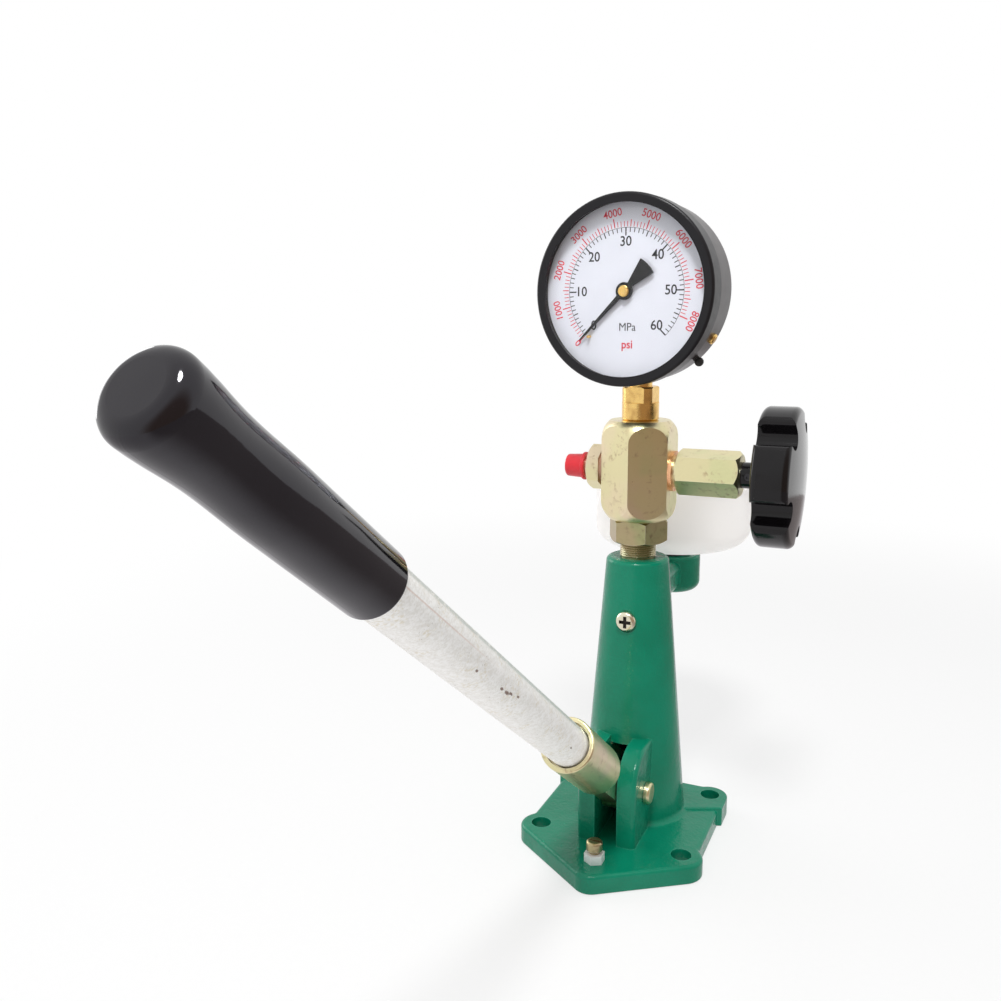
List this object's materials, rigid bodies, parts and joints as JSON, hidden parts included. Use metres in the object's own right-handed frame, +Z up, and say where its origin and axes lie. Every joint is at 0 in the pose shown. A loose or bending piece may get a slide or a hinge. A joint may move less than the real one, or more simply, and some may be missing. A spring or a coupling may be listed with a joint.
{
  "type": "diesel injector tester",
  "caption": "Hand-pumped injector tester: lever pump in a cast column, dial gauge on a hexagonal valve block, star-knob shut-off valve, capped outlet and oil cup.",
  "frame": {"origin": "on the underside of the foot plate, under the column's axis", "axes": "+Z up along the column, -Y to the front where the lever points, +X right, towards the star knob"},
  "size_m": [0.145, 0.5048, 0.3686],
  "materials": {
    "green_paint": "gloss, slightly uneven cast surface",
    "yellow_zinc": "yellow passivated zinc, satin",
    "white_zinc": "bright zinc",
    "galvanised": "mottled galvanised",
    "bare_steel": "ground",
    "brass": "turned",
    "copper": "annealed copper",
    "black_grip": "glossy dipped plastic",
    "black_knob": "moulded, glossy",
    "black_paint": "gloss",
    "black_rubber": "matte",
    "red_cap": "soft moulded",
    "window": "clear",
    "dial_white": "white with printed scales",
    "milky_plastic": "translucent",
    "pointer_black": "matte"
  },
  "bodies": {
    "stand": {"body_casting": "green_paint", "barrel_screw": "yellow_zinc", "pump_barrel": "bare_steel", "delivery_seat": "bare_steel", "valve_nipple": "yellow_zinc", "jam_nut": "yellow_zinc", "nipple_seal": "copper", "valve_block": "yellow_zinc", "outlet_seal": "black_rubber", "outlet_fitting": "yellow_zinc", "bonnet_washer": "copper", "bonnet": "yellow_zinc", "gauge_socket": "brass", "gauge_case": "black_paint", "case_screw": "brass", "case_plug": "black_rubber", "gauge_bezel": "black_paint", "gauge_lens": "window", "lens_gasket": "black_rubber", "dial_plate": "dial_white", "pointer_stop_pin": "brass", "movement_frame": "brass", "bourdon_tube": "brass", "oil_cup": "milky_plastic", "cup_washers": "black_rubber", "cup_bolt": "white_zinc", "passage_plug": "white_zinc", "pivot_pin": "yellow_zinc", "pin_washer": "yellow_zinc", "split_pin": "white_zinc", "stop_screw": "brass", "stop_nut": "white_zinc", "plunger_spring": "bare_steel", "delivery_spring": "bare_steel"},
    "lever": {"lever_heel": "yellow_zinc", "lever_socket": "yellow_zinc", "lever_pipe": "galvanised", "lever_grip": "black_grip"},
    "plunger": {"pump_plunger": "bare_steel", "plunger_foot": "bare_steel"},
    "check_ball": {"delivery_valve": "bare_steel"},
    "needle": {"valve_needle": "bare_steel"},
    "knob": {"valve_spindle": "bare_steel", "spindle_packing": "black_rubber", "star_knob": "black_knob", "knob_set_screw": "bare_steel"},
    "pointer": {"gauge_pointer": "pointer_black", "pointer_cap": "brass", "pointer_arbor": "bare_steel"},
    "sector": {"gear_sector": "brass"},
    "link": {"movement_link": "brass"},
    "cap": {"outlet_cap": "red_cap"},
    "lid": {"cup_lid": "milky_plastic"}
  },
  "joints": [
    {"name": "lever_hinge", "type": "hinge", "parent": "stand", "child": "lever", "pos_m": [0, -0.0325, 0.0358], "axis": [1, 0, 0], "range_deg": [0, 40]},
    {"name": "plunger_slide", "type": "slide", "parent": "stand", "child": "plunger", "axis": [0, 0, 1], "range_m": [0, 0.02293], "stiffness_N_per_m": 9000, "springref_m": -0.005, "deforming": ["plunger_spring"]},
    {"name": "delivery_lift", "type": "slide", "parent": "stand", "child": "check_ball", "axis": [0, 0, 1], "range_m": [0, 0.0012], "stiffness_N_per_m": 300, "springref_m": -0.002, "deforming": ["delivery_spring"]},
    {"name": "needle_travel", "type": "slide", "parent": "stand", "child": "needle", "axis": [1, 0, 0], "range_m": [0, 0.00226]},
    {"name": "knob_turn", "type": "hinge", "parent": "needle", "child": "knob", "pos_m": [0.05, 0, 0.2185], "axis": [1, 0, 0], "range_deg": [0, 540]},
    {"name": "pointer_turn", "type": "hinge", "parent": "stand", "child": "pointer", "pos_m": [0, 0, 0.31815], "axis": [0.0872, 0.9962, 0], "range_deg": [0, 270]},
    {"name": "sector_turn", "type": "hinge", "parent": "stand", "child": "sector", "pos_m": [0, 0, 0.29895], "axis": [0.0872, 0.9962, 0], "range_deg": [-24.6, 0]},
    {"name": "link_swing", "type": "hinge", "parent": "sector", "child": "link", "pos_m": [0.00809, -0.01396, 0.2952], "axis": [0.0872, 0.9962, 0], "range_deg": [0, 24.6]},
    {"name": "outlet_cap_pull", "type": "slide", "parent": "stand", "child": "cap", "axis": [-1, 0, 0], "range_m": [0, 0.015]},
    {"name": "cup_lid_lift", "type": "slide", "parent": "stand", "child": "lid", "axis": [0, 0, 1], "range_m": [0, 0.04]}
  ],
  "couplings": [
    {"joint": "plunger_slide", "follows": "lever_hinge", "m_per_rad": 0.032824},
    {"joint": "needle_travel", "follows": "knob_turn", "m_per_rad": 0.00023873},
    {"joint": "sector_turn", "follows": "pointer_turn", "ratio": -0.090909},
    {"joint": "link_swing", "follows": "pointer_turn", "ratio": 0.090909}
  ]
}
